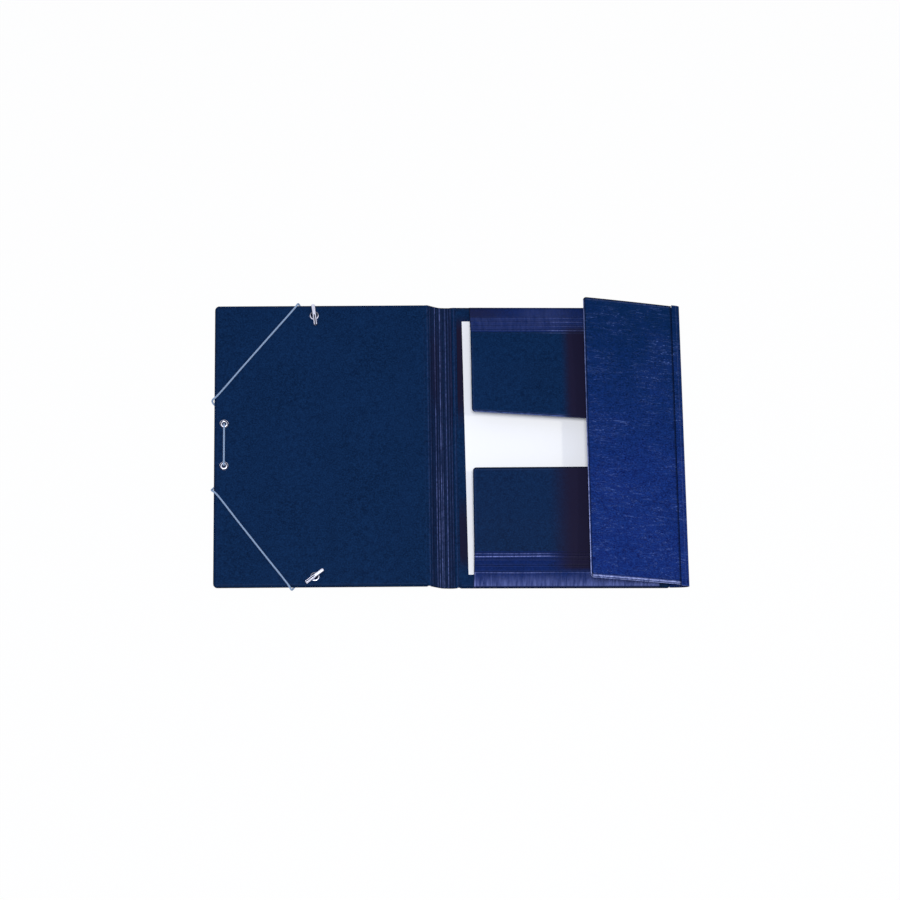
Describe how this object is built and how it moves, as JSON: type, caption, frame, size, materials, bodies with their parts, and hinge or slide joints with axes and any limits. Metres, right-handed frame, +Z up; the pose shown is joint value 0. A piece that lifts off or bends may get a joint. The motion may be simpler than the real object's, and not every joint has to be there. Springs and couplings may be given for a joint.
{
  "type": "document folder",
  "caption": "Hinged-cover document folder lying open, with creased gusseted flaps over a paper stack and an elastic cord laced through eyelets in the front cover.",
  "frame": {"origin": "middle of the open folder's footprint, on the surface it lies on", "axes": "+X across the open folder from the front cover to the back cover, +Y towards the top edge, +Z up out of the open face"},
  "size_m": [0.5254, 0.3368, 0.0405],
  "materials": {
    "outer_sheet": "leather-grained dark blue sheet",
    "lining_sheet": "fine-grained dark navy sheet",
    "glossy_sheet": "leather-grained blue sheet with a low gloss",
    "board": "grey-brown millboard",
    "paper": "plain white office paper",
    "nickel": "bright nickel plate",
    "elastic": "braided pale grey-blue elastic"
  },
  "bodies": {
    "back_cover": {"back_outer_skin": "outer_sheet", "back_board": "board", "back_lining": "lining_sheet", "top_flap": "lining_sheet", "bottom_flap": "lining_sheet", "side_gusset": "glossy_sheet", "paper_sheets": "paper"},
    "spine": {"spine": "lining_sheet"},
    "front_cover": {"front_outer_skin": "outer_sheet", "front_board": "board", "front_lining": "lining_sheet", "eyelet_upper_edge": "nickel", "washer_upper_edge": "nickel", "eyelet_lower_edge": "nickel", "washer_lower_edge": "nickel", "eyelet_top_end": "nickel", "washer_top_end": "nickel", "eyelet_bottom_end": "nickel", "washer_bottom_end": "nickel", "top_end_clip": "nickel", "bottom_end_clip": "nickel", "elastic_cord": "elastic"},
    "side_flap": {"side_flap": "glossy_sheet"}
  },
  "joints": [
    {"name": "spine_hinge", "type": "hinge", "parent": "back_cover", "child": "spine", "pos_m": [0.00869, 0, 0.0025], "axis": [0, 1, 0], "range_deg": [0, 90]},
    {"name": "front_cover_hinge", "type": "hinge", "parent": "spine", "child": "front_cover", "pos_m": [-0.02132, 0, 0.0103], "axis": [0, 1, 0], "range_deg": [0, 83]},
    {"name": "side_flap_hinge", "type": "hinge", "parent": "back_cover", "child": "side_flap", "pos_m": [0.25418, 0, 0.0119], "axis": [0, 1, 0], "range_deg": [-4, 165]}
  ]
}
